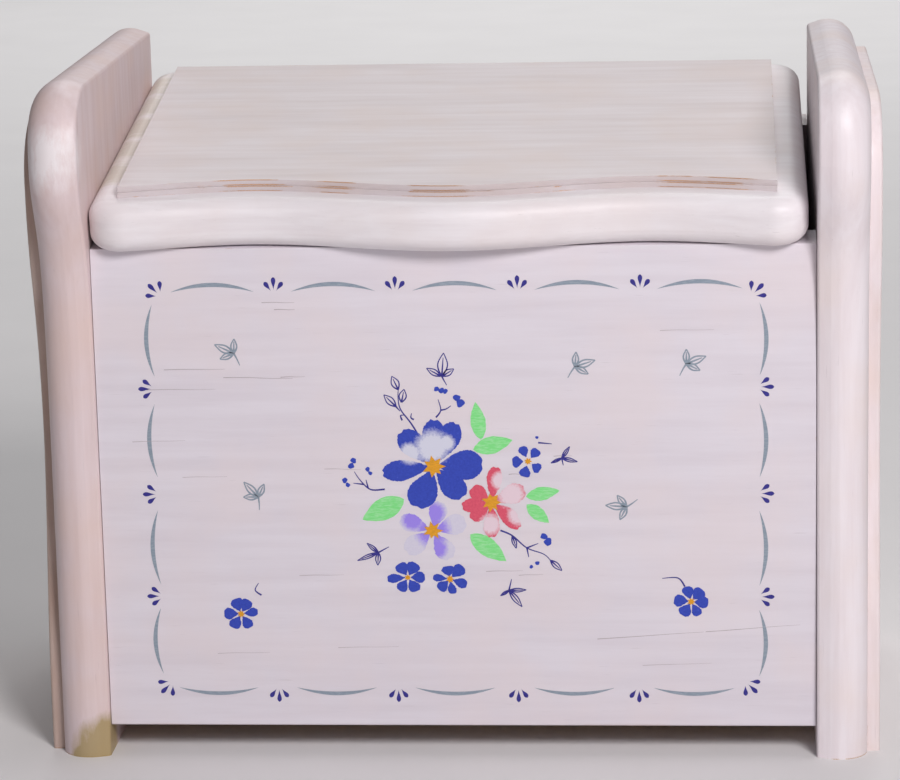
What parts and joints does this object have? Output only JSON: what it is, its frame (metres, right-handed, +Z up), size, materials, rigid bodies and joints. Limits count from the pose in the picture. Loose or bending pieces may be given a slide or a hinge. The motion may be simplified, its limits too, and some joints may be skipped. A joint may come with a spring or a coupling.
{
  "type": "bread box",
  "caption": "Painted pine bread box with shaped side boards that stand as feet and a solid sloping lid hinged at the back.",
  "frame": {"origin": "middle of the whole object's footprint, on the floor", "axes": "+Z up, +X to the object's right seen from the front, +Y towards the back where the lid is hinged"},
  "size_m": [0.4124, 0.2462, 0.3375],
  "materials": {
    "side_paint": "whitewashed pine, satin, worn edges",
    "overlay_paint": "whitewashed pine, satin, worn edges",
    "front_panel_paint": "whitewashed pine with painted flowers and border",
    "lid_paint": "whitewashed pine, satin, worn edges",
    "back_paint": "whitewashed pine, plain",
    "bare_pine": "bare pine, planed",
    "hinge_steel": "brass-plated steel, dulled",
    "screw_steel": "zinc-plated steel"
  },
  "bodies": {
    "case": {"left_side_board": "side_paint", "right_side_board": "side_paint", "left_side_overlay": "overlay_paint", "right_side_overlay": "overlay_paint", "front_panel": "front_panel_paint", "back_panel": "back_paint", "bottom_board": "bare_pine", "left_floor_cleat": "bare_pine", "right_floor_cleat": "bare_pine", "left_corner_cleat": "bare_pine", "right_corner_cleat": "bare_pine", "left_hinge_fixed_leaf": "hinge_steel", "left_hinge_pin": "hinge_steel", "right_hinge_fixed_leaf": "hinge_steel", "right_hinge_pin": "hinge_steel", "back_panel_screws": "screw_steel", "floor_cleat_screws": "screw_steel", "bottom_board_screws": "screw_steel", "corner_cleat_screws": "screw_steel", "overlay_brads": "screw_steel", "hinge_fixed_screws": "screw_steel"},
    "lid": {"lid_board": "lid_paint", "lid_panel": "lid_paint", "left_hinge_lid_leaf": "hinge_steel", "right_hinge_lid_leaf": "hinge_steel", "hinge_lid_screws": "screw_steel", "lid_panel_brads": "screw_steel"}
  },
  "joints": [
    {"name": "lid_hinge", "type": "hinge", "parent": "case", "child": "lid", "pos_m": [0, 0.11178, 0.28798], "axis": [-1, 0, 0], "range_deg": [0, 120]}
  ]
}
